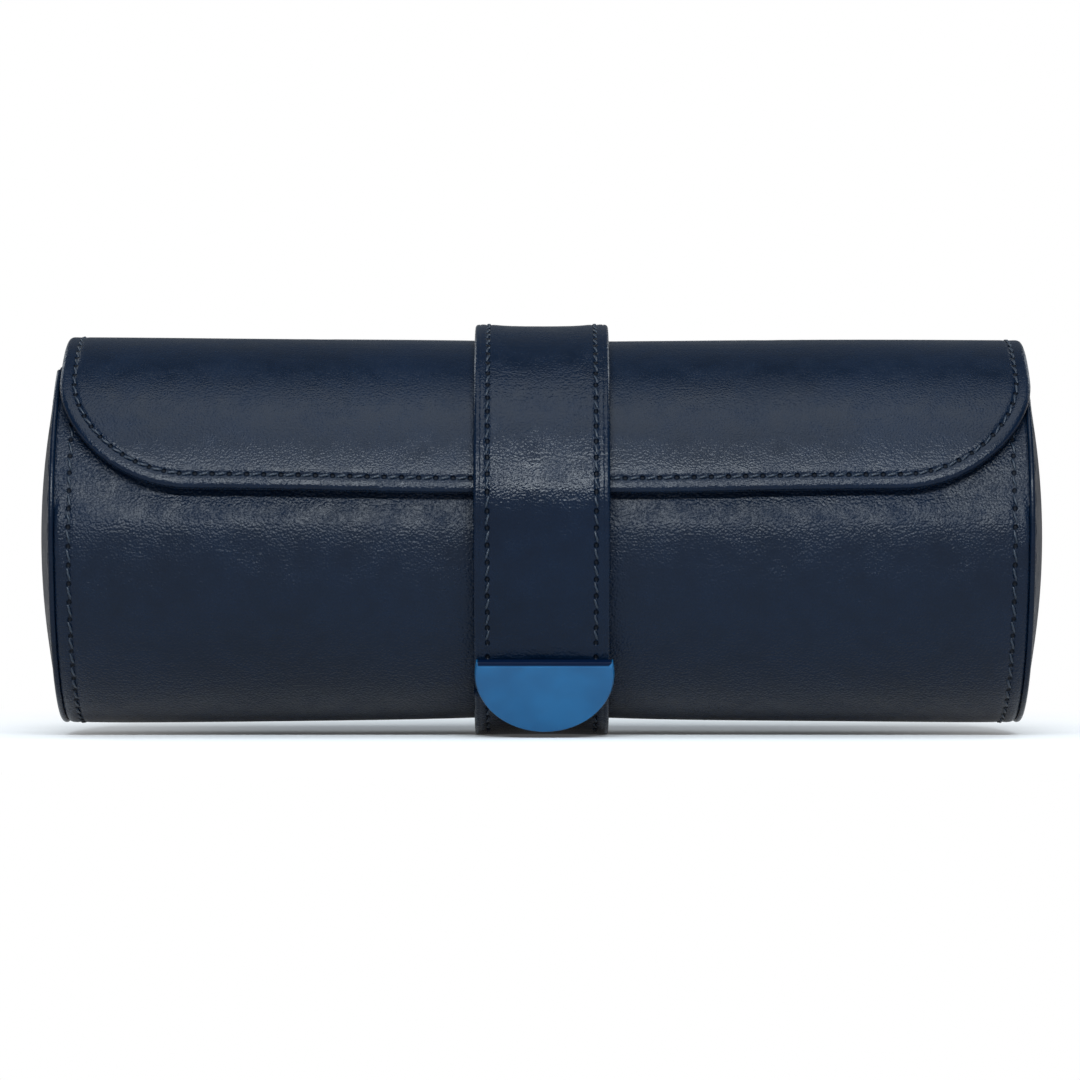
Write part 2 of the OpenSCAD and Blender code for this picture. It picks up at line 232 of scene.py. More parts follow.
def leather(name, colour=NAVY, pebble=0.62, grain=1.0, polish=0.35, pitch=3.2, crease=0.3,
            shine=0.135):
    """Pebbles 1 - cell distance, creases stretched along X, needle holes where the distance from
    one, hypot(0.85 × fraction of a stitch × pitch, offset), is under half a millimetre. The holes
    are painted near black, as painted shade."""
    n = Nodes(name)
    here = n.place()
    cells = n.add("TexVoronoi", {"Vector": here, "Scale": 1 / (pebble * MM)}, feature="SMOOTH_F1")
    cells.inputs["Smoothness"].default_value = 0.3
    pores = n.noise(here, 0.30, 2.0)
    soft = n.noise(here, 5.0, 4.0)
    wide = n.noise(here, 38.0, 2.0)
    lines = n.noise(n.place(scale=(0.14, 1, 1)), 1.1, 3.0, 0.6)
    height = n.math("ADD", n.math("MULTIPLY", cells.outputs["Distance"], -0.8),
                    n.math("MULTIPLY", pores, 0.45))
    height = n.math("ADD", height, n.math("MULTIPLY", lines, crease))
    height = n.math("MULTIPLY", height, n.remap(soft, 0.35, 0.7, 0.6, 1.2))
    along, aside = n.sewing()[:2]
    step = n.math("MULTIPLY", n.math("SUBTRACT", n.math("FRACT", along), 0.5), 0.85 * pitch)
    apart = n.math("SQRT", n.math("ADD", n.math("MULTIPLY", step, step),
                                  n.math("MULTIPLY", aside, aside)))
    hole_and_shade = n.remap(apart, 0.52, 0.24)
    dye = n.remap(n.math("ADD", soft, wide), 0.75, 1.25, 0.84, 1.18)
    dyed = n.add("HueSaturation", {"Value": dye, "Color": colour}).outputs["Color"]
    # painted shade: the needle holes are mixed towards near black
    base = n.mix(n.math("MULTIPLY", hole_and_shade, 0.78), dyed, (0.0006, 0.0010, 0.0020, 1))
    rough = n.remap(n.math("ADD", n.math("MULTIPLY", cells.outputs["Distance"], 0.3), soft),
                    0.4, 0.95, polish - 0.04, polish + 0.06)
    rough = n.math("ADD", rough, n.math("MULTIPLY", hole_and_shade, 0.4))
    normal = n.bump(height, 0.6 * grain, 0.2)
    normal = n.bump(hole_and_shade, 1.0, -0.4, normal)
    return n.finish(Base_Color=base, Roughness=rough, Specular_IOR_Level=shine, Normal=normal)


def thread():
    """Two tones and a small bump by a fine wave laid askew, which stands for the twist."""
    n = Nodes("waxed thread")
    twist = n.add("TexWave", {"Vector": n.place(turn=(0.5, 0.6, 0.4)), "Scale": 520.0,
                              "Distortion": 1.5}).outputs["Fac"]
    return n.finish(Base_Color=n.mix(twist, (0.005, 0.010, 0.019, 1), (0.012, 0.021, 0.035, 1)),
                    Roughness=n.remap(twist, 0, 1, 0.5, 0.38), Specular_IOR_Level=0.35,
                    Normal=n.bump(twist, 0.6, 0.08))


body_leather = leather("body leather", pitch=PITCH["flap"], pebble=0.44, grain=0.8, polish=0.28)
tube_leather = leather("tube leather", pitch=PITCH["ends"], pebble=0.5, grain=1.6, crease=0.5,
                       polish=0.34, shine=0.16)
strap_leather = leather("strap leather", pitch=PITCH["strap"], pebble=0.5, grain=0.9, crease=1.0,
                        polish=0.24)
edge_leather = leather("edge leather", colour=EDGE_NAVY, grain=0.45, polish=0.27)
dome_leather = leather("dome leather", pebble=0.7, grain=1.6, polish=0.5, shine=0.10)
waxed_thread = thread()

# %% [markdown]
# The lining is a soft grey suede. Its nap catches light in cloudy patches where a finger has
# brushed it, so the colour follows a slow noise, the bump a very fine one, and a little sheen
# stands for the fibres at the rim.

# %% Suede
def suede(name, colour, dark):
    """Nap as fine noise of 0.25 mm, brushed clouds as noise of 14 mm."""
    n = Nodes(name)
    here = n.place()
    nap, cloud = n.noise(here, 0.25, 3.0, 0.7), n.noise(here, 14.0, 3.0, 0.6)
    shade = n.remap(n.math("ADD", n.math("MULTIPLY", nap, 0.35), cloud), 0.45, 0.9)
    return n.finish(Base_Color=n.mix(shade, dark, colour), Roughness=n.remap(nap, 0, 1, 0.86, 1.0),
                    Specular_IOR_Level=0.1, Sheen_Weight=0.25, Sheen_Roughness=0.5,
                    Normal=n.bump(nap, 0.5, 0.12))


grey_suede = suede("grey suede", (0.215, 0.222, 0.245, 1), (0.125, 0.131, 0.148, 1))
cushion_suede = suede("cushion suede", (0.270, 0.278, 0.300, 1), (0.165, 0.172, 0.190, 1))


# %% [markdown]
# The half-moon plate is metal under a blue lacquer. Lacquer is a clear coat over colour, so the
# shader has a coat, and slow clouds in the colour and roughness keep it from being one flat blue.

# %% Lacquer, board, foam and steel
def lacquer():
    """Blue coat over metal: clouds of 9 mm in colour and polish, faint orange peel in the bump. On
    the straight edge's bevel, where the sewing attribute is 1, the colour is painted dark navy as
    painted shade, and the specular and the coat fall away there."""
    n = Nodes("blue lacquer")
    here = n.place()
    cloud, fine = n.noise(here, 9.0, 2.0), n.noise(here, 1.6, 2.0)
    bevel_shade = n.remap(n.sewing()[0], 0.05, 0.4)
    blue = n.mix(n.remap(cloud, 0.35, 0.65), (0.001, 0.060, 0.155, 1), (0.003, 0.082, 0.200, 1))
    # the bevel's dark navy is painted shade
    return n.finish(Base_Color=n.mix(bevel_shade, blue, (0.0008, 0.0050, 0.0190, 1)),
                    Metallic=0.0, Roughness=n.remap(cloud, 0.3, 0.7, 0.30, 0.40),
                    Specular_IOR_Level=n.remap(bevel_shade, 0, 1, 0.25, 0.06),
                    Coat_Weight=n.remap(bevel_shade, 0, 1, 0.2, 0), Coat_Roughness=0.16,
                    Normal=n.bump(fine, 0.12, 0.05))


def plain(name, light, dark, size, rough, metal=0.0):
    """Two tones mixed by noise, for board, foam, steel and the magnets."""
    n = Nodes(name)
    here = n.place()
    grain = n.noise(here, size, 4.0, 0.65)
    return n.finish(Base_Color=n.mix(grain, dark, light), Metallic=metal,
                    Roughness=n.remap(grain, 0.2, 0.8, rough - 0.08, rough + 0.08),
                    Normal=n.bump(grain, 0.4, 0.1))


blue_lacquer = lacquer()
grey_board = plain("pressed board", (0.30, 0.26, 0.20, 1), (0.20, 0.17, 0.13, 1), 0.8, 0.85)
foam = plain("foam", (0.62, 0.58, 0.48, 1), (0.45, 0.42, 0.34, 1), 0.5, 0.95)
steel = plain("brushed steel", (0.55, 0.56, 0.58, 1), (0.40, 0.41, 0.43, 1), 0.6, 0.32, 1.0)

# %% [markdown]
# ## How the leather settles
# A strap pulled tight over a roll draws the leather in beside it. The pinch fades away over about
# three centimetres, and the flap's free edge dips a little towards the strap. Every layer of the
# flap and the tube reads the same two functions, so the layers keep their distance.

# %% Settling
def soft_step(t):
    """Smooth 0 to 1: t² (3 - 2t), with t held between 0 and 1."""
    t = np.clip(t, 0, 1)
    return t * t * (3 - 2 * t)


def beside_strap(x, reach):
    """1 under the strap, fading as exp(-distance / reach) beside it."""
    return np.exp(-np.clip(np.abs(x) - strap_half, 0, None) / reach)


def edge_dip(x):
    """Degrees that the flap's free edge hangs lower near the strap: 1.25 exp(-(distance/34)²)."""
    return 1.25 * np.exp(-(np.clip(np.abs(x) - strap_half, 0, None) / 34) ** 2)


def settle_flap(x, angle, r):
    """Pinch 0.4 mm and lean 0.0027 mm per mm, fading to nothing at the back fold; the edge
    dips by edge_dip, and the sheet is sewn on 0.7 mm to one side and is drawn out by 0.6 %."""
    hold = soft_step((FOLD - 4 - angle) / 50)
    r = r + hold * (0.05 - 0.0027 * (x + half_len) - 0.40 * beside_strap(x, 28))
    r = r + hold * 0.10 * np.sin(x / 17 + 0.8) * np.sin(np.radians(angle) * 2.3 + x / 40)
    x = x * (1 + 0.006 * hold) + 0.7 * hold
    return x, angle - edge_dip(x) * soft_step(1 - (angle - FLAP_EDGE) / 45), r


def settle_tube(x, angle, r):
    """Pinch 0.45 mm in front and 0.87 mm below, a press of 0.97 mm behind the flap's edge, and a
    swell of 0.35 mm just below it; the board lets nothing sink more than 0.92 mm."""
    low = soft_step(-angle / 60) * soft_step((angle + 185) / 40)
    r = r - (0.45 + 0.42 * low) * beside_strap(x, 22) * soft_step((angle + 182) / 30)
    below = angle + edge_dip(x)
    r = r + 0.35 * np.exp(-((below - 2) / 9) ** 2) * (1 - beside_strap(x, 10))
    r = r - 0.55 * soft_step((below - 3) / 8) - 0.42 * soft_step((below - 10.4) / 2.8)
    calm = soft_step((half_len - np.abs(x)) / 12)
    r = r + 0.12 * calm * np.sin(x / 21 - 0.4) * np.sin(np.radians(angle) * 2.1 + x / 47)
    return x, angle, np.maximum(r, tube_r - 0.92)


# %% [markdown]
# ## The flap
# The flap is three sheets sewn together round their edge: outer leather, a thin backing leather
# and the suede. Each sheet is a rounded rectangle that has been rolled round the tube. The neat
# way to mesh a rounded sheet is to follow its outline: columns run along the outline, and rows
# walk from the middle line out to the edge, over the turned edge and back underneath. The turned
# edge is then an exact profile, even round the corners.

# %% Rounded sheet
def running_length(points):
    """Length along a line of points, counted from the first one."""
    return np.r_[0, np.cumsum(np.linalg.norm(np.diff(points, axis=0), axis=1))]


def outline(w, s, front_r, back_r, step=1.2):
    """Closed outline of a rounded rectangle of half width w and length s in (x, s), from the middle
    of the back edge round the right side: returns points, inward normals and running length."""
    def arc(cx, cs, r, start):
        """Centre + r (cos t, sin t) for a quarter turn down from start, and the way inwards."""
        t = np.radians(np.linspace(start, start - 90, max(4, int(r * 1.6 / step))))
        out = np.stack([np.cos(t), np.sin(t)], -1)
        return np.array([cx, cs]) + r * out, -out

    def line(a, b):
        """Even steps from a to b, and the way inwards, to the right of the line."""
        a, b = np.array(a, float), np.array(b, float)
        n = max(2, int(np.linalg.norm(b - a) / step))
        d = (b - a) / np.linalg.norm(b - a)
        return a + (b - a) * np.linspace(0, 1, n)[:, None], np.tile([d[1], -d[0]], (n, 1))

    parts = [line((0, s), (w - back_r, s)), arc(w - back_r, s - back_r, back_r, 90),
             line((w, s - back_r), (w, front_r)), arc(w - front_r, front_r, front_r, 0),
             line((w - front_r, 0), (-w + front_r, 0)), arc(-w + front_r, front_r, front_r, -90),
             line((-w, front_r), (-w, s - back_r)), arc(-w + back_r, s - back_r, back_r, 180),
             line((-w + back_r, s), (0, s))]
    points = np.concatenate([p[0] for p in parts])
    inward = np.concatenate([p[1] for p in parts])
    keep = np.r_[True, np.linalg.norm(np.diff(points, axis=0), axis=1) > 1e-6]
    points, inward = points[keep], inward[keep]
    return points, inward, running_length(points)


def rolled_sheet(name, material, half_w, first_deg, last_deg, front_r, back_r, profile, settle,
                 sewn=False):
    """Rows: medial line to ring, the edge profile (inset d, height above flap_r), ring to medial
    line. Between ring and medial line a point is ring + (middle - ring) × t. Rolled up, s becomes
    angle = first + s / flap_r in degrees."""
    edge = [(d, flap_r + h) for d, h in profile]
    length = math.radians(last_deg - first_deg) * flap_r
    points, inward, run = outline(half_w, length, front_r, back_r)
    spine = half_w - length / 2
    (ring_0, middle_0), (ring_1, middle_1) = (
        (ring, np.stack([np.clip(ring[:, 0], -spine, spine), np.full(len(ring), length / 2)], -1))
        for ring in (points + inward * edge[0][0], points + inward * edge[-1][0]))
    t = np.linspace(1, 0, 17)[:-1] ** 1.15
    away = 60 * t  # mm from the seam, too far for a needle hole
    flat = np.array([ring_0 + (middle_0 - ring_0) * k for k in t] +
                    [points + inward * d for d, _ in edge] +
                    [ring_1 + (middle_1 - ring_1) * k for k in t[::-1]])
    d, r = np.array(edge).T
    inset = np.r_[d[0] + away, d, d[-1] + away[::-1]][:, None]
    r = np.r_[0 * t + r[0], r, 0 * t + r[-1]][:, None] + np.zeros(flat.shape[:2])
    rolled = around(*settle(flat[..., 0], first_deg + np.degrees(flat[..., 1] / flap_r), r))
    sewing = np.stack([run[None] / PITCH["flap"] + 0 * r, inset - SEAM_IN + 0 * r, 0 * r], -1)
    return make_piece(name, rolled, grid_faces(*r.shape, loop_cols=True), material,
                      sewing if sewn else None)


# %% [markdown]
# ## Dressing the frame
# A finished piece has to know which body it moves with. The flap's leather is one sheet that is
# sewn to the case and lifts with the flap; it is given the fold between the two bodies, but here it
# only has its place baked in and rides no body. Each piece's slot is printed, and the piece takes
# the place of the frame's solids that it stands for.

# %% Dressing a piece
def dress(piece, slot, body, *stood_for, fill=None):
    """Ride the body named by body; a tuple (from, to, start, end) in mm is not read, and the piece
    then only has its place baked in and rides no body. Hide the frame's solids that it replaces,
    and print the piece with its faces and slot; fill is not used."""
    if isinstance(body, str):
        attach(piece, body)
    else:
        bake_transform(piece)
    if stood_for:
        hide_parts(*stood_for)
    print(piece.name + ":", len(piece.data.polygons), "faces,", slot)


# %% Outer leather of the flap
groove = [(6.0, 0), (5.2, 0), (4.6, 0), (3.9, 0), (3.4, -0.04), (3.1, -0.16), (2.8, -0.28),
          (2.5, -0.16), (2.2, -0.04), (1.7, -0.01), (1.3, 0), (0.95, 0), (0.62, -0.05),
          (0.34, -0.18), (0.14, -0.42), (0.03, -0.72), (0.02, -0.98), (0.14, -1.2),
          (0.42, -1.36), (1.2, -1.42), (6.0, -1.42)]
FLAP_BEND = ("case", "flap", FOLD_LINE + [0, 0, -1.3], FOLD_LINE + [0, 0, 1.3])
flap_skin = rolled_sheet("flap_outer_leather", body_leather, half_len, FLAP_EDGE, STRIP_END,
                         FRONT_CORNER, BACK_CORNER, groove, settle_flap, sewn=True)
dress(flap_skin, "body_leather", FLAP_BEND, "flap_leather", "back_strip_leather")

# %% [markdown]
# Under the outer leather lies the backing leather, whose edge shows as the second thin line below
# the bead, and then the suede panel, which stops short of the edge. Both end at the back fold and
# turn with the flap. A narrow strip of the same build, sewn below the fold, holds the flap on.

# %% Backing, suede and back strip
under = [(5.0, -1.5), (1.0, -1.5), (0.35, -1.56), (0.12, -1.75), (0.08, -2.05), (0.25, -2.35),
         (0.8, -2.5), (5.0, -2.5)]
panel = [(3.0, -2.3), (0.8, -2.3), (0.2, -2.36), (0.0, -2.48), (0.2, -2.6), (0.8, -2.66),
         (3.0, -2.66)]
strip = [(2.0, -1.35), (0.8, -1.35), (0.2, -1.45), (0.0, -1.9), (0.1, -2.5), (0.6, -2.78),
         (2.0, -2.78)]
flap_backing = rolled_sheet("flap_backing_leather", edge_leather, half_len - 0.1, FLAP_EDGE,
                            FOLD - 0.4, FRONT_CORNER, 5.5, under, settle_flap)
flap_suede = rolled_sheet("flap_suede", grey_suede, half_len - 1.9, FLAP_EDGE + 2.7, FOLD - 1.2,
                          24, 4, panel, settle_flap)
back_strip = rolled_sheet("back_strip_filler_leather", edge_leather, half_len - 0.3, FOLD + 0.4,
                          STRIP_END - 0.3, 2.2, 2.2, strip, lambda x, a, r: (x, a, r))
dress(flap_backing, "edge_leather", "flap", "flap_edge")
dress(flap_suede, "suede", "flap", "flap_lining")
dress(back_strip, "edge_leather", "case", "back_strip_filler")

# %% [markdown]
# ## The tube
# The tube's leather is one sheet wrapped round the board, from the mouth's front lip, down the
# front, under the roll and up the back. Its profile along X is a long flat loop with rounded ends
# and a shallow seam groove, and that profile is carried round the roll.

# %% Carrying a section round the roll
def stations(*spans):
    """Places along a line: spans (from, to, step) joined end to end, each place once."""
    parts = [np.linspace(a, b, max(2, int(round(abs(b - a) / step)) + 1)) for a, b, step in spans]
    return np.concatenate([parts[0]] + [p[1:] for p in parts[1:]])


def mirrored(half):
    """Closed loop (x, height) from its right half, which starts and ends on the middle line."""
    return np.concatenate([half, (half * [-1, 1])[::-1][1:-1]])


def spread(profile, turns):
    """Grids of x, angle and r for a profile (x, r) at every turn."""
    x, a = np.meshgrid(profile[:, 0], turns)
    return x, a, np.meshgrid(profile[:, 1], turns)[0]


def swept(name, points, material, sewing=None, whole=False):
    """Rows of one closed section as a piece: its end rows capped, or joined if it is whole."""
    rows, cols = points.shape[:2]
    faces = grid_faces(rows, cols, loop_rows=whole, loop_cols=True)
    caps = () if whole else (range(cols), range((rows - 1) * cols, rows * cols))
    return make_piece(name, points, faces, material, sewing, caps)


# %% Tube leather
inner = tube_r - 0.98


def tube_section():
    """Closed loop (x, r): the outer face at tube_r, a rim given as (distance from the end, height)
    with the seam groove SEAM_IN from the end, and the inner face 0.98 mm deeper."""
    rim = [(5.5, 0), (4.2, 0), (3.5, -0.04), (3.1, -0.18), (2.8, -0.24), (2.5, -0.18),
           (2.1, -0.03), (1.5, 0.02), (0.9, -0.02), (0.45, -0.14), (0.12, -0.4), (0, -0.7),
           (0.1, -0.94), (0.6, -0.98)]
    return mirrored(np.array([(x, tube_r) for x in np.r_[0, 2, np.arange(5, half_len - 6, 3)]] +
                             [(half_len - d, tube_r + h) for d, h in rim] +
                             [(x, inner) for x in np.r_[np.arange(half_len - 8, 4, -10), 0]]))


x, a, r = spread(tube_section(), stations((TUBE_END, 4, 1.6), (4, LIP, 1.6)))
points = around(x, a, np.where(r > inner + 0.3, settle_tube(x, a, r)[2], r))
sewing = np.stack([np.radians(a) * tube_r / PITCH["ends"], half_len - np.abs(x) - SEAM_IN, 0 * x],
                  -1)
tube = swept("tube_leather", points, tube_leather, sewing)
dress(tube, "body_leather", "case", "case_leather")

# %% [markdown]
# ## The straps
# The upper strap runs over the flap and becomes the tongue that carries the plate. It is two
# leathers glued and sewn, with creased, painted edges, and its face is a little cupped because
# the seams pull the edges up. Its section is carried along one path: an arc round the flap, a
# short bend at the flap's edge, the tongue's own arc, and the straight end behind the plate.

# %% Strap section and paths
DRAWN_HALF = 13.2


def unit(vectors):
    """Rows scaled to length 1."""
    return vectors / np.linalg.norm(vectors, axis=1)[:, None]


def strap_section(half_w, thick):
    """Closed loop (x, height above the inner face): cupped 0.33 mm in the middle, seam groove at
    STRAP_SEAM, crease 1 mm from the edge, rounded edge with a fine line between the two leathers.
    It is drawn at the half width DRAWN_HALF and drawn out to half_w."""
    top = [(0, -0.33), (3, -0.32), (6, -0.26), (8, -0.15), (9.2, -0.04), (9.9, -0.03),
           (10.25, -0.14), (10.5, -0.22), (10.75, -0.14), (11.1, 0), (11.6, 0.05), (12.05, 0.03),
           (12.2, -0.09), (12.35, 0), (12.6, 0), (12.85, -0.08), (13.05, -0.25), (13.17, -0.5),
           (13.2, -0.8), (13.2, -1.1), (13.08, -1.2), (13.2, -1.3), (13.2, -1.9)]
    low = [(13.1, 0.25), (12.8, 0.05), (12.2, 0), (8, 0), (4, 0), (0, 0)]
    return mirrored(np.array([(x, thick + h) for x, h in top] + low) * [half_w / DRAWN_HALF, 1])


def carry(section, path, normal, run, round_end=0.0):
    """Sweep: point = path + normal × height, with x from the section; the last stretch of the path
    may be narrowed so that its corners have the radius round_end."""
    x, along, h = spread(section, run)
    if round_end:
        back = np.clip(round_end - (run[-1] - run), 0, None)
        cut = round_end - np.sqrt(np.clip(round_end ** 2 - back ** 2, 0, None))
        x = np.sign(x) * np.minimum(np.abs(x), section[:, 0].max() - cut[:, None])
    yz = path[:, None] + normal[:, None] * h[..., None]
    points = np.concatenate([x[..., None], yz], -1)
    sewing = np.stack([along / PITCH["strap"], np.abs(x) - STRAP_SEAM, 0 * x], -1)
    return points, sewing


def arc_path(centre, r, first, last, steps):
    """Points (y, z) round a centre, the angle counted as round the roll."""
    t = np.radians(np.linspace(first, last, steps))
    return centre + r * np.stack([-np.cos(t), np.sin(t)], -1)


def smooth_path(path, width, step):
    """Evenly spaced points of a polyline, softened by a moving average of the given width."""
    run = running_length(path)
    even = np.arange(0, run[-1], 0.25)
    p = np.stack([np.interp(even, run, path[:, i]) for i in (0, 1)], -1)
    n = int(width / 0.25) | 1
    pad = np.pad(p, ((n // 2, n // 2), (0, 0)), mode="reflect", reflect_type="odd")
    kernel = np.ones(n) / n
    p = np.stack([np.convolve(pad[:, i], kernel, "valid") for i in (0, 1)], -1)
    at = np.r_[np.arange(0, len(p) - 1, max(1, int(step / 0.25))), len(p) - 1]
    return p[at], unit(np.gradient(p[at], axis=0)), running_length(p[at])


# %% Upper strap and tongue
strap_t, strap_drop = 2.6, 0.6
tongue_centre = np.array([7.7499, axis_z + 5.2274])
tongue_r = 46.598
arc_top = arc_path([0, axis_z], strap_r - strap_t, STRAP_BACK, FLAP_EDGE - 3.6, 140)
arc_low = arc_path(tongue_centre, tongue_r, -1.2, SEAT, 60)
seat = math.radians(SEAT)
down_seat = np.array([-math.sin(seat), -math.cos(seat)])
straight = arc_low[-1] + np.outer(np.linspace(0, 10, 12)[1:], down_seat)
path, along, run = smooth_path(np.concatenate([arc_top, arc_low, straight]), 4.5, 0.75)
normal = np.stack([along[:, 1], -along[:, 0]], -1)
section = strap_section(strap_half, strap_t)
points, sewing = carry(section, path, normal, run, round_end=2.5)
# over the flap the inner leather is pressed in deeper, so that no daylight shows under its edge
deeper = normal * (strap_drop * soft_step((run[-1] - run - 47) / 8))[:, None]
points[:, section[:, 1] < 1.2, 1:] -= deeper[:, None]
strap = swept("upper_strap_and_tongue", points, strap_leather, sewing)
edge = math.radians(FLAP_EDGE)
half_bend = 2.2 * np.array([0, -math.sin(edge), -math.cos(edge)])
TONGUE_BEND = ("flap", "tongue", TONGUE_LINE - half_bend, TONGUE_LINE + half_bend)
dress(strap, "strap_leather", TONGUE_BEND, "upper_strap_face", "upper_strap_backing",
      "tongue_face", "tongue_backing")
print("upper strap:", round(run[-1], 1), "mm long")

# %% Lower strap
low_path, _, low_run = smooth_path(arc_path([0, axis_z], tube_r, -50.5, -163, 110), 1.0, 1.0)
low_normal = unit(low_path - [0, axis_z])
points, sewing = carry(strap_section(strap_half, 2.7), low_path, low_normal, low_run)
points[..., 2] = np.maximum(points[..., 2], 0.0)  # pressed flat on the table
low_strap = swept("lower_strap", points, strap_leather, sewing)
dress(low_strap, "strap_leather", "case", "lower_strap_face", "lower_strap_backing")

# %% [markdown]
# ## The half-moon plate
# The plate is a disc cut by a straight chord, with a wide bevel along the cut and a fine round
# elsewhere. Its outline is followed by columns, as on the flap, and the rows walk in from the rim
# to the middle of the face.

# %% Half-moon plate
def on_seat(x, v, h):
    """Point above the seat: axis + outward × h + down the slope × v, in mm."""
    (down_y, down_z), (out_y, out_z) = down_seat, (-math.cos(seat), math.sin(seat))
    return np.stack([x, out_y * h + down_y * v, axis_z + out_z * h + down_z * v], -1)


PLATE_R, PLATE_CUT, PLATE_DROP, PLATE_LOW, PLATE_HIGH = 13.56, 3.0, 4.7, 39.85, 41.45
PLATE_SET = 0.55  # set a little to one side
ARC_STEPS, CUT_STEPS = 96, 42


def half_moon(fine, wide, shrink=1.0):
    """D outline moved in by `fine` along the arc and `wide` along the chord: a circle of radius
    R - fine cut at height c - wide, then scaled by shrink about a point inside."""
    r, cut = PLATE_R - fine, PLATE_CUT - wide
    turn = math.asin(cut / r)
    t = np.linspace(turn, -math.pi - turn, ARC_STEPS)
    arc = np.stack([r * np.cos(t), PLATE_DROP - r * np.sin(t)], -1)
    cut_line = arc[-1] + (arc[0] - arc[-1]) * np.linspace(0, 1, CUT_STEPS)[1:-1, None]
    middle = np.array([0.0, PLATE_DROP + 4.5])
    return middle + (np.concatenate([arc, cut_line]) - middle) * shrink + [PLATE_SET, 0]


rings = [(0.35, 0.85, shrink, PLATE_HIGH) for shrink in (0, 0.5, 0.9, 1)] + [
    (0.27, 0.78, 1, PLATE_HIGH - 0.03), (0.10, 0.10, 1, PLATE_HIGH - 0.36),
    (0.02, 0.02, 1, PLATE_HIGH - 0.50), (0, 0, 1, PLATE_HIGH - 0.62),
    (0, 0, 1, PLATE_LOW + 0.15), (0.15, 0.15, 1, PLATE_LOW), (0.15, 0.15, 0, PLATE_LOW)]
stack = np.array([on_seat(*half_moon(fine, wide, shrink).T, h) for fine, wide, shrink, h in rings])
# the bevel mask: along the cut the lacquer is painted dark, as painted shade
bevel = np.zeros_like(stack)
bevel[5:9, ARC_STEPS:, 0] = 1.0  # along the cut, below the face
plate = make_piece("half_moon", stack, grid_faces(*stack.shape[:2], loop_cols=True), blue_lacquer,
                   bevel)
plate.data.set_sharp_from_angle(angle=math.radians(20))
dress(plate, "clasp_plate", "tongue", "half_moon_plate")

# %% [markdown]
# ## The ends
# Each end is closed by a padded leather disc. A welt, a narrow ring of leather folded over a cord,
# covers the joint between disc and tube. Both are turned shapes: a closed profile carried round
# the roll's axis. Small gathers where the leather is drawn over the pad break the dome's rim.
# Across the mouth there is no tube to meet, so a thin leather lip stands on the end panel there and
# closes the gap below the flap.

# %% Turned shapes
def turned(name, profile, material, gathers=0.0, steps=180, arc=None):
    """Profile (x, r) carried round the axis, all the way or over an arc in degrees with its ends
    capped; gathers raise x by a ripple that fades inwards from the rim."""
    turns = np.linspace(0, 360, steps, endpoint=False) if arc is None else np.linspace(*arc, steps)
    x, a, r = spread(profile, turns)
    t = np.radians(a)
    ripple = 0.8 + 0.5 * np.sin(t * 31 + 1.3 * np.sin(t * 5)) * (1 + 0.6 * np.sin(t * 3))
    near_rim = np.exp(-((r - r.max()) / 4.5) ** 2) * np.sign(x)
    return swept(name, around(x + gathers * ripple * near_rim, a, r), material, whole=arc is None)


# %% Domes and welts
end_low, end_high = box_mm("left_end_board")
dome_r = (end_high[2] - end_low[2]) / 2
welt_x = -end_low[0]


def dome_profile(side):
    """Ball cap: x = base + h - (R - sqrt(R² - r²)), with a wall of 0.9 mm and a thin edge that is
    turned over the end board's rim."""
    high = dome_x - welt_x
    ball = (dome_r ** 2 + high ** 2) / (2 * high)
    r = np.concatenate([np.linspace(0, dome_r - 2.4, 15), dome_r - np.array([1.5, 0.8, 0.35, 0.1])])
    crown = high - (ball - np.sqrt(ball ** 2 - r ** 2))
    x_out = welt_x + np.where(r > dome_r - 2.4, crown * 0.9 + 0.08, crown)
    outer = np.stack([x_out, r], -1)
    inner = np.stack([np.maximum(x_out[::-1][4:] - 0.9, welt_x + 0.03), r[::-1][4:]], -1)
    rim = [(welt_x + 0.16, 0), (welt_x, 0.08), (half_len + 0.35, 0.09), (half_len + 0.08, 0.03),
           (half_len + 0.05, -0.1), (half_len + 0.12, -0.2), (welt_x + 0.03, -0.2),
           (welt_x + 0.03, -1.2)]
    return np.concatenate([outer, np.array(rim) + [0, dome_r], inner]) * [side, 1]


def welt_profile(side):
    """Half-round leather bead as wide as the welt, from the tube's rim down to the dome's foot."""
    t = np.radians(np.linspace(-90, 90, 9))
    wide = (welt_x - half_len) / 2
    bead = np.stack([half_len + wide * (1 + np.sin(t)), tube_r - 0.62 + 0.6 * np.cos(t)], -1)
    low = [(welt_x + 0.02, 0.9), (welt_x - 0.15, 0.1), (half_len + 0.1, 0.1)]
    return np.concatenate([bead, np.array(low) + [0, dome_r]]) * [side, 1]


def lip_profile(side):
    """Thin upright lip with a round top, 0.7 mm thick; the flap sits lower on the right."""
    t = np.radians(np.linspace(0, 180, 7))
    top = tube_r - (0.5 if side < 0 else 0.92)
    crest = np.stack([half_len - 0.42 - 0.35 * np.cos(t), top + 0.35 * np.sin(t)], -1)
    foot = [(half_len - 0.07, dome_r - 0.5), (half_len - 0.77, dome_r - 0.5)]
    return np.concatenate([crest, foot]) * [side, 1]


for side, word in ((-1, "left"), (1, "right")):
    dome = turned(word + "_end_dome", dome_profile(side), dome_leather, gathers=0.16)
    welt = turned(word + "_end_welt_bead", welt_profile(side), edge_leather, arc=(TUBE_END, 63))
    mouth_lip = turned(word + "_end_lip", lip_profile(side), edge_leather, arc=(63.5, 177))
    dress(mouth_lip, "edge_leather", "case")
    dress(dome, "body_leather", "case", word + "_end_leather", fill=0.8)
    dress(welt, "edge_leather", "case", word + "_end_welt")

# %% [markdown]
# ## The front lip
# The mouth's raw edge is hidden by a strip of leather rolled over it into a bead. It runs the
# whole length of the mouth, and its end shows beside the flap's corner.

# %% Lip bead
LIP_R, END_RUN = 1.55, 1.5


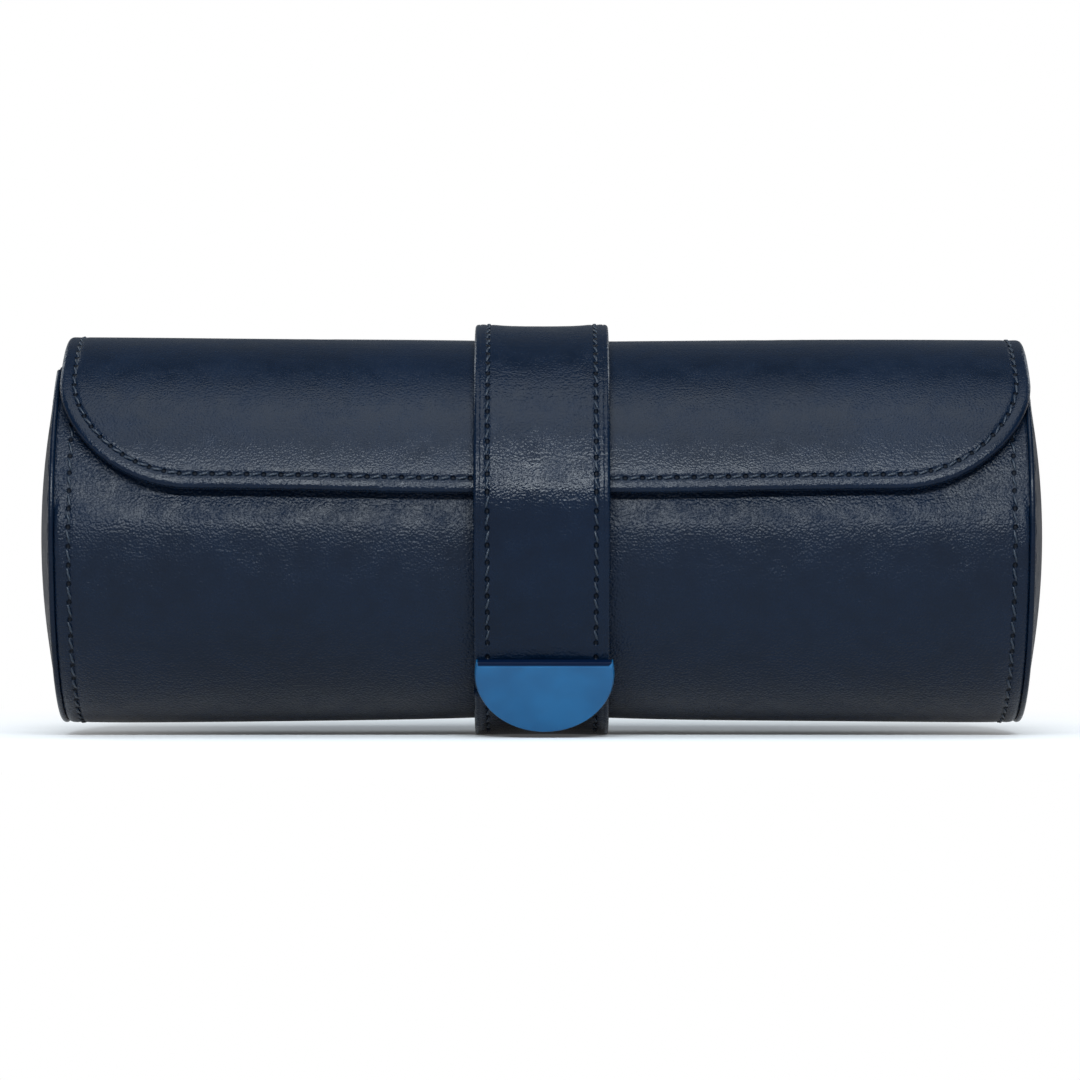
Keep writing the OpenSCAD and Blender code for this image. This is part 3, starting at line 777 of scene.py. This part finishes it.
def lip_points():
    """Bead of radius LIP_R, drawn in as sqrt(1 - 0.85 t²) over the last END_RUN mm; its middle
    leans and is pinched beside the strap as the flap is."""
    t = np.radians(np.linspace(0, 360, 20, endpoint=False))
    inner_x = half_len - END_RUN
    x = stations((-half_len, -inner_x, 0.3), (-inner_x, inner_x, 4.0), (inner_x, half_len, 0.3))
    x = x[:, None]
    bead_r = LIP_R * np.sqrt(1 - 0.85 * np.clip((np.abs(x) - inner_x) / END_RUN, 0, 1) ** 2)
    droop = 0.0027 * (x + half_len) + 0.35 * beside_strap(x, 22)
    return around(x, LIP + 0.6 + np.degrees(bead_r * np.sin(t) / tube_r),
                  tube_r - 1.6 - droop + bead_r * np.cos(t))


dress(swept("front_lip_bead", lip_points(), edge_leather), "edge_leather", "case",
      "front_lip_binding")

# %% [markdown]
# ## The lining
# Inside, grey suede is glued to the board all the way round, and to both end boards. Glued suede
# never lies perfectly flat: it stands up a little between the places where it was pressed, and its
# cut edge is turned in at the mouth. It is the same wrapped sheet as the tube's leather, seen from
# within, so it is made the same way, with slow swells on its inner face.

# %% Suede of the tube
lining_x = box_mm("case_lining")[1][0] - 0.9
pad_low, pad_high = box_mm("divider_left")
lining_r = (pad_high[2] - pad_low[2]) / 2 + 0.3


def lining_points():
    """Flat loop (x, r), 0.71 mm thick, carried round the roll; on its inner face r swells by
    0.07 sin(x/9.3 + 2.1 sin 3a) sin(5.2 a + x/23)."""
    xs = stations((-lining_x, lining_x, 2.4))
    loop = np.concatenate([np.stack([xs, 0 * xs + lining_r + 0.06], -1),
                           np.stack([xs[::-1], 0 * xs + lining_r + 0.77], -1)])
    x, a, r = spread(loop, stations((-181.6, 60.5, 2.2)))
    t = np.radians(a)
    wave = 0.07 * np.sin(x / 9.3 + 2.1 * np.sin(t * 3)) * np.sin(t * 5.2 + x / 23)
    return around(x, a, r + wave * (r < lining_r + 0.1))


dress(swept("case_suede", lining_points(), grey_suede), "suede", "case", "case_lining")

# %% [markdown]
# ## Ends, dividers and beds
# The end panels and the two dividers are board discs wrapped in thin foam and suede. Their faces
# are crowned, the rim is drawn in by the turned edge, and a sewn line runs 2.6 mm inside it. All
# are turned profiles. The beds are saddle pads that fill the bottom of each bay, so that a watch
# head lying under its cushion touches nothing hard.

# %% End panels and dividers
def panel_profile(node, half_t, r_out, crown, sides=(-1, 1)):
    """Face height at radius r: half_t + crown (1 - (r/R)²) - 0.3 exp(-((r - R + 2.6)/0.35)²), the
    last being the sewn line. The rim is a half ellipse, a flat side keeps its height, and the
    disc stands midway along the node's box."""
    r = np.concatenate([np.linspace(0, r_out - 4.2, 12),
                        r_out - np.array([3.4, 3.0, 2.6, 2.2, 1.8, 1.2])])
    sewn_line = 0.3 * np.exp(-((r - r_out + 2.6) / 0.35) ** 2)
    face = half_t - 0.12 + crown * (1 - (r / r_out) ** 2) - sewn_line
    t = np.radians(np.linspace(90, -90, 9))
    rim = np.stack([np.sin(t) * (half_t - 0.12), r_out - 0.9 + 0.9 * np.cos(t)], -1)
    flat = np.full(len(r), half_t - 0.02)
    high = np.stack([face if 1 in sides else flat, r], -1)
    low = np.stack([-(face if -1 in sides else flat), r], -1)
    return np.concatenate([high, rim, low[::-1]]) + [np.mean(box_mm(node), axis=0)[0], 0]


for side, hand in ((-1, "left"), (1, "right")):
    end, divider = hand + "_end_lining", "divider_" + hand
    for name, node, profile, fill in (
            ("_end_suede", end, panel_profile(end, 0.4, lining_r - 0.05, 0.25, (-side,)), None),
            ("_divider_pad", divider, panel_profile(divider, 2.0, lining_r - 0.3, 0.45), 0.7)):
        disc = turned(hand + name, profile, grey_suede, steps=150)
        dress(disc, "suede", "case", node, fill=fill)

# %% Beds
bed_low, bed_high = box_mm("bed_middle")
cushion_drop = axis_z - (cushion_low[2] + cushion_high[2]) / 2
cushion_r = (cushion_high[1] - cushion_low[1]) / 2
BED_HALF, BED_ROWS, BED_COLS = 47.5, 41, 33


def bed_pad(name, centre_x):
    """Section round the roll: the outer line lies on the lining, the inner line on a circle round
    the cushion's axis. Towards the edges both draw together as sqrt(1 - u⁷) sqrt(1 - v⁹), a
    channel of depth 0.7 exp(-(x/1.5)²) runs down the middle, and the ends pucker by 0.12 mm."""
    half = (bed_high[0] - bed_low[0]) / 2 - 0.1
    u, v = (np.sin(np.radians(np.linspace(-90, 90, n))) for n in (BED_ROWS, BED_COLS))
    u, v = np.meshgrid(u, v, indexing="ij")
    x, a = centre_x + u * half, -90 + v * BED_HALF
    down = np.radians(v * BED_HALF)
    inner = (cushion_drop * np.cos(down) +
             np.sqrt((cushion_r + 0.35) ** 2 - (cushion_drop * np.sin(down)) ** 2))
    outer = lining_r - 0.12
    full = np.sqrt(np.clip(1 - np.abs(u) ** 7, 0, 1)) * np.sqrt(np.clip(1 - np.abs(v) ** 9, 0, 1))
    lift = (outer - inner) * (1 - full) + 0.7 * np.exp(-((x - centre_x) / 1.5) ** 2)
    pucker = np.sin(x / 3.1 + np.sin(down * 9)) * np.exp(-((np.abs(u) - 1) * half / 5) ** 2)
    lift = lift + 0.12 * pucker
    top = around(x, a, np.minimum(inner + lift + 0.05, outer))
    base = around(x, a, outer + 0 * inner)
    index = np.arange(u.size).reshape(u.shape)
    rim = np.r_[index[0], index[1:, -1], index[-1, -2::-1], index[-2:0:-1, 0]]
    wall = np.stack([rim, np.roll(rim, -1), np.roll(rim, -1) + u.size, rim + u.size], -1)
    faces = grid_faces(*u.shape)
    return make_piece(name, np.concatenate([top.reshape(-1, 3), base.reshape(-1, 3)]),
                      np.concatenate([faces, faces[:, ::-1] + u.size, wall]), grey_suede)


bay_pitch = box_mm("cushion_right")[1][0] - cushion_high[0]
for place, hand in ((-1, "left"), (0, "middle"), (1, "right")):
    dress(bed_pad(hand + "_bed_pad", place * bay_pitch), "suede", "case", "bed_" + hand, fill=0.6)
print("bays", round(bay_pitch, 1), "mm apart")

# %% [markdown]
# ## The watch cushions
# Each watch is wrapped round a short roll of foam in a suede cover: a barrel sewn to two round
# end panels. The stuffing pushes the barrel and the ends out, the two seams hold, and the cover is
# cut a little full, so it puckers beside them. Cloth under pressure does exactly that, so the
# barrel is swollen by a simulation with its seam rings pinned. The solver likes larger things, so
# the cover is made ten times its size for it, and no point may move further than a cap.

# %% Cushion cover before stuffing
SEAM_X, SEAM_R, CUSHION_CAP, GROW, FRAMES = 24.6, 23.4, 0.95, 10.0, 20
cushion_half = (cushion_high[0] - cushion_low[0]) / 2


def cushion_grid():
    """Profile (x, r): end panel with a shallow crown, the sewn ring, and a barrel
    r = 24.0 + 0.45 (1 - (x / seam)²), turned round the cushion's own axis."""
    r_end = np.array([0, 3, 6, 9, 12, 15, 17.5, 19.5, 21.2, 22.4])
    end = np.stack([SEAM_X + 0.95 + 1.6 * np.sqrt(1 - (r_end / 23.2) ** 2) ** 0.9, r_end], -1)
    ring = np.array([(SEAM_X + 0.35, 23.1), (SEAM_X, SEAM_R), (SEAM_X - 0.35, 23.75)])
    xs = np.linspace(SEAM_X - 1.1, 0, 24)
    barrel = np.stack([xs, 24.0 + 0.45 * (1 - (xs / SEAM_X) ** 2)], -1)
    right = np.concatenate([end, ring, barrel])
    profile = np.concatenate([right, (right * [-1, 1])[::-1][1:]])
    x, a, r = spread(profile, np.linspace(0, 360, 132, endpoint=False))
    return around(x, a, r) - [0, 0, axis_z]


def points_of(mesh):
    """A mesh's points in mm, at the cover's real size."""
    flat = np.empty(len(mesh.vertices) * 3)
    mesh.vertices.foreach_get("co", flat)
    return flat.reshape(-1, 3) / (MM * GROW)


def stuffed(points, faces):
    """Cloth under pressure for FRAMES frames with the two sewn rings held; each point moves by
    step × min(1, cap / length of the step). Gives the moved points and the faces."""
    shape = make_piece("stuffing", points * GROW, faces, grey_suede)
    rest = points_of(shape.data)
    r = np.hypot(rest[:, 1], rest[:, 2])
    at_seam = np.abs(np.abs(rest[:, 0]) - SEAM_X) < 0.02
    held = np.flatnonzero(at_seam & (np.abs(r - SEAM_R) < 0.02))
    moved = rest
    shape.vertex_groups.new(name="sewn").add(held.tolist(), 1.0, "REPLACE")
    cloth = shape.modifiers.new("Cloth", "CLOTH")
    cloth.settings.quality = 7
    cloth.settings.use_pressure = True
    cloth.settings.uniform_pressure_force = 4
    cloth.settings.effector_weights.gravity = 0
    cloth.settings.vertex_group_mass = "sewn"
    cloth.settings.shrink_min = -0.035
    cloth.point_cache.frame_start, cloth.point_cache.frame_end = 1, FRAMES
    for moment in range(1, FRAMES + 1):
        scene.frame_set(moment)
    result = shape.evaluated_get(bpy.context.evaluated_depsgraph_get())
    moved = points_of(result.data)
    scene.frame_set(1)
    step = moved - rest
    far = np.linalg.norm(step, axis=1)[:, None]
    step = step * np.minimum(1, CUSHION_CAP / np.maximum(far, 1e-9))
    mesh = shape.data
    quads = [list(p.vertices) for p in mesh.polygons]
    bpy.data.objects.remove(shape)
    bpy.data.meshes.remove(mesh)
    print("cushion swell:", round(float(np.median(far)), 2), "mm median,",
          round(float(far.max()), 2), "most before the cap")
    return rest + step, quads


grid = cushion_grid()
cover_points, cover_faces = stuffed(grid, grid_faces(*grid.shape[:2], loop_rows=True))
r = np.hypot(cover_points[:, 1], cover_points[:, 2])
limit = np.minimum(1, (cushion_r + 0.1) / np.maximum(r, 1e-6))[:, None]
cover_points[:, 1:] *= limit
cover_points[:, 0] = np.clip(cover_points[:, 0], -cushion_half, cushion_half)

# %% Three cushions
seam_angle = np.linspace(0, 360, 120, endpoint=False)
tube_round = np.radians(np.linspace(0, 360, 9)[:-1])
for place, hand in ((-1, "left"), (0, "middle"), (1, "right")):
    turn = 1.9 * place  # so that no two cushions show the same puckers
    cos, sin = math.cos(turn), math.sin(turn)
    spin = np.array([[1, 0, 0], [0, cos, -sin], [0, sin, cos]])
    shift = np.array([place * bay_pitch, 0, axis_z - cushion_drop])
    label, body = "cushion_" + hand, "cushion_" + hand + "_body"
    cushion = make_piece(label + "_suede", cover_points @ spin.T + shift, cover_faces,
                         cushion_suede)
    smooth = cushion.modifiers.new("Smooth cover", "SUBSURF")
    smooth.levels = smooth.render_levels = 1
    dress(cushion, "suede", body, label, fill=0.85)
    for side, end in ((-1, "a"), (1, "b")):
        circle = np.stack([side * (SEAM_X + 0.1) + 0.62 * np.sin(tube_round),
                           SEAM_R + 0.35 + 0.62 * np.cos(tube_round)], -1)
        x, a, r = spread(circle, seam_angle)
        t = np.radians(a)
        r = r + 0.10 * np.sin(t * 37) * np.sin(t * 3 + place)
        piping = around(x, a, r) - [0, 0, axis_z] + shift
        dress(swept(label + "_piping_" + end, piping, cushion_suede, whole=True), "suede", body)

# %% [markdown]
# ## The stitching
# Saddle stitches lean a little from hole to hole and sink at both ends. One stitch is a short
# bent capsule of a few dozen faces, and a seam is that capsule placed at every step along a line,
# all in one mesh. The lines use the leather's own functions, so the thread lies in its groove.

# %% Stitch maker
THREAD_R, THREAD_LIFT = 0.27, 0.02


def stitch_line(name, centres, along, out, pitch, lean=0.16):
    """Stitch: centre + along × 0.4 u pitch + side × (r cos p + lean u pitch / 2) + out ×
    (0.85 r sin p + lift + 0.16 (1 - u²) - 0.3 u⁴), and r falls to nothing at u = ±1."""
    u = np.array([-1, -0.82, -0.45, 0, 0.45, 0.82, 1.0])[:, None]
    p = np.radians(np.linspace(0, 360, 7)[:-1])[None]
    r = THREAD_R * np.sqrt(np.clip(1 - np.abs(u) ** 3.2, 0, 1))
    a = u * pitch * 0.40 + 0 * p
    b = r * np.cos(p) + lean * u * pitch * 0.5
    c = 0.85 * r * np.sin(p) + THREAD_LIFT + 0.16 * (1 - u ** 2) - 0.30 * u ** 4
    side = np.cross(out, along)
    points = (centres[:, None, None] + a[None, ..., None] * along[:, None, None] +
              b[None, ..., None] * side[:, None, None] + c[None, ..., None] * out[:, None, None])
    first_point = np.arange(len(centres)) * a.size
    faces = grid_faces(*a.shape, loop_cols=True) + first_point[:, None, None]
    return make_piece(name, points, faces.reshape(-1, 4), waxed_thread)


def frames_of(curve, at):
    """Centres, unit directions and outward directions of a curve function at the places given."""
    c = curve(at)
    along = unit(curve(at + 0.05) - c)
    out = (c - [0, 0, axis_z]) * [0, 1, 1]
    return c, along, unit(out - (out * along).sum(1)[:, None] * along)


# %% Flap seam
length = math.radians(STRIP_END - FLAP_EDGE) * flap_r
edge_points, edge_in, edge_run = outline(half_len, length, FRONT_CORNER, BACK_CORNER, 0.4)
coarse_run = outline(half_len, length, FRONT_CORNER, BACK_CORNER)[2]


def flap_seam(at):
    """The flap's outline moved in by SEAM_IN and rolled up, by running length."""
    p = edge_points + edge_in * SEAM_IN
    scale = edge_run[-1] / coarse_run[-1]
    x, s = (np.interp(at * scale, edge_run, p[:, i]) for i in (0, 1))
    return around(*settle_flap(x, FLAP_EDGE + np.degrees(s / flap_r), flap_r - 0.22 + 0 * x))


at = np.arange(1, int(coarse_run[-1] / PITCH["flap"]) - 1) * PITCH["flap"]
seam = stitch_line("flap_stitches", *frames_of(flap_seam, at), PITCH["flap"])
dress(seam, "edge_leather", FLAP_BEND)


# %% Strap seams
def strap_seam(path, run, normal, height, x):
    """A line along a strap at the given x and height above its inner face."""
    def curve(at):
        """Points at these lengths along the path."""
        y, z = (np.interp(at, run, line) for line in (path + normal * height).T)
        return np.stack([x + 0 * at, y, z], -1)
    return curve


groove_x = STRAP_SEAM * strap_half / DRAWN_HALF
for word, p, n, r, high, short, body in (
        ("upper", path, normal, run, strap_t - 0.2, 9.0, TONGUE_BEND),
        ("lower", low_path, low_normal, low_run, 2.5, 1.5, "case")):
    for side, hand in ((-1, "left"), (1, "right")):
        at = np.arange(1, int((r[-1] - short) / PITCH["strap"])) * PITCH["strap"]
        curve = strap_seam(p, r, n, high, side * groove_x)
        at = at[curve(at)[:, 2] > 0.6]  # pressed flat on the table, the strap's sole shows none
        seam = stitch_line(word + "_strap_stitches_" + hand, *frames_of(curve, at), PITCH["strap"],
                           lean=0.22 * side)
        dress(seam, "strap_leather", body)


# %% End seams
def end_seam(side):
    """A line round the tube, SEAM_IN from its end on the given side."""
    def curve(at):
        """Points at these lengths round the tube, the angle being length / tube_r."""
        a = np.degrees(at / tube_r)
        return around(*settle_tube(side * (half_len - SEAM_IN) + 0 * a, a, tube_r - 0.2 + 0 * a))
    return curve


first, last = (int(math.radians(v) * tube_r / PITCH["ends"]) for v in (-178, LIP - 3))
at = np.arange(first, last) * PITCH["ends"]
for side, hand in ((-1, "left"), (1, "right")):
    seam = stitch_line("end_stitches_" + hand, *frames_of(end_seam(side), at), PITCH["ends"],
                       lean=0.2)
    dress(seam, "edge_leather", "case")

# %% [markdown]
# ## Finishes of the frame's own hidden pieces
# Boards, foam cores, magnets and rivets keep the frame's exact solids. They only need their finish.

# %% Frame finishes
FINISH = {"board": grey_board, "core": foam, "magnet": steel, "rivets": steel, "pad": foam,
          "lining": grey_suede, "bed": grey_suede, "divider": grey_suede, "cushion": grey_suede}
for name, node in nodes.items():
    finish = next((FINISH[word] for word in FINISH if word in name), edge_leather)
    node.data.materials.clear()
    node.data.materials.append(finish)
print(len(nodes), "frame pieces finished")

# %% [markdown]
# ## Floor, light and camera
# A pale floor that runs far back stands for the studio table. Close to the roll it is matt, so it
# takes a shadow, and further out it glows white. The light is one long soft box in front and above,
# which draws the bright band along the roll, a broad one overhead, and two weak ones behind.

# %% Floor and low wall
FLAT_R, BEND_R, WALL_TOP = 2.2, 0.3, 0.43


def floor_profile():
    """(r, z) in metres: flat to FLAT_R, a quarter round of BEND_R, then upright to WALL_TOP."""
    t = np.radians(np.linspace(0, 90, 10))
    bend = np.stack([FLAT_R + BEND_R * np.sin(t), BEND_R - BEND_R * np.cos(t)], -1)
    flat = [(0, 0), (0.1, 0), (0.5, 0), (1.2, 0)]
    return np.concatenate([flat, bend, [(FLAT_R + BEND_R, WALL_TOP)]])


r, t, z = spread(floor_profile(), np.radians(np.linspace(0, 360, 96, endpoint=False)))
ring = np.stack([r * np.cos(t), r * np.sin(t), z], -1)
mesh = bpy.data.meshes.new("studio_floor")
faces = grid_faces(*ring.shape[:2], loop_rows=True)
mesh.from_pydata(ring.reshape(-1, 3).tolist(), [], faces.tolist())
mesh.polygons.foreach_set("use_smooth", np.ones(len(mesh.polygons), bool))
floor = bpy.data.objects.new("studio_floor", mesh)
scene.collection.objects.link(floor)
floor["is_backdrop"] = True
print("floor", 2 * (FLAT_R + BEND_R), "m across")

# %% Pale floor finish
n = Nodes("pale floor")
rays = n.add("LightPath").outputs
seen = n.math("MINIMUM", n.math("ADD", n.math("ADD", rays["Is Camera Ray"], rays["Is Glossy Ray"]),
                                rays["Is Transmission Ray"]), 1.0)
here = n.place()
far = n.add("VectorMath", {0: here}, operation="LENGTH").outputs["Value"]
across = n.math("ABSOLUTE", n.add("SeparateXYZ", {0: here}).outputs[0])
white_share = n.remap(far, 0.05, 0.20, 0.06, 1.0, "SMOOTHSTEP")
level = n.remap(across, 0.40, 1.3, 1.0, 0.55, "SMOOTHSTEP")
matt = n.add("BsdfDiffuse", {"Color": (0.80, 0.81, 0.82, 1)})
white = n.add("Emission", {"Color": (1, 1, 1, 1), "Strength": level})
both = n.add("MixShader", {0: n.math("MULTIPLY", seen, white_share), 1: matt.outputs[0],
                           2: white.outputs[0]})
n.tree.links.new(both.outputs[0], n.out.inputs["Surface"])
floor.data.materials.append(n.material)

# %% World and lamps
world = bpy.data.worlds.new("studio")
scene.world = world
world.use_nodes = True
background = world.node_tree.nodes["Background"]
background.inputs["Color"].default_value = (0.80, 0.90, 1, 1)
background.inputs["Strength"].default_value = 0.22
COOL = (0.86, 0.94, 1.0)


def soft_box(name, azimuth, elevation, distance, width, height, level):
    """Area lamp aimed at the roll; azimuth 0 is the front. Power = level × pi × area, so level is
    the brightness that the box shows."""
    lamp = bpy.data.lights.new(name, "AREA")
    lamp.shape, lamp.size, lamp.size_y, lamp.color = "RECTANGLE", width, height, COOL
    lamp.energy = level * math.pi * width * height
    box = bpy.data.objects.new(name, lamp)
    az, el = math.radians(azimuth), math.radians(elevation)
    toward = Vector((math.sin(az) * math.cos(el), -math.cos(az) * math.cos(el), math.sin(el)))
    box.location = toward * distance + Vector((0, 0, axis_z * MM))
    box.rotation_euler = toward.to_track_quat("Z", "Y").to_euler()
    scene.collection.objects.link(box)
    print(name + ":", round(lamp.energy, 1), "W")


soft_box("strip box", 0, 31, 1.25, 0.95, 0.17, 44.0)
soft_box("top soft box", 0, 72, 1.3, 0.95, 1.0, 4.0)
soft_box("left rear box", -135, 30, 1.3, 0.6, 0.6, 3.2)
soft_box("right rear box", 135, 30, 1.3, 0.6, 0.6, 3.2)

# %% Camera
CAMERA_AT, VIEW_DEGREES, SENSOR = (-0.00034, -1.06, 0.0387), 11.63, 36
camera_data = bpy.data.cameras.new("camera")
camera = bpy.data.objects.new("camera", camera_data)
camera.location = CAMERA_AT
camera.rotation_euler = (math.radians(90), 0, 0)
camera_data.sensor_width = SENSOR
camera_data.lens = SENSOR / 2 / math.tan(math.radians(VIEW_DEGREES / 2))
camera_data.clip_start, camera_data.clip_end = 0.05, 200
scene.collection.objects.link(camera)
scene.camera = camera
scene.view_settings.view_transform = "Standard"
print("camera:", round(camera_data.lens, 1), "mm lens,", -CAMERA_AT[1], "m in front")

# %% Sizes
low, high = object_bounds()
print("visual size:", [round((b - a) / MM, 1) for a, b in zip(low, high)], "mm")
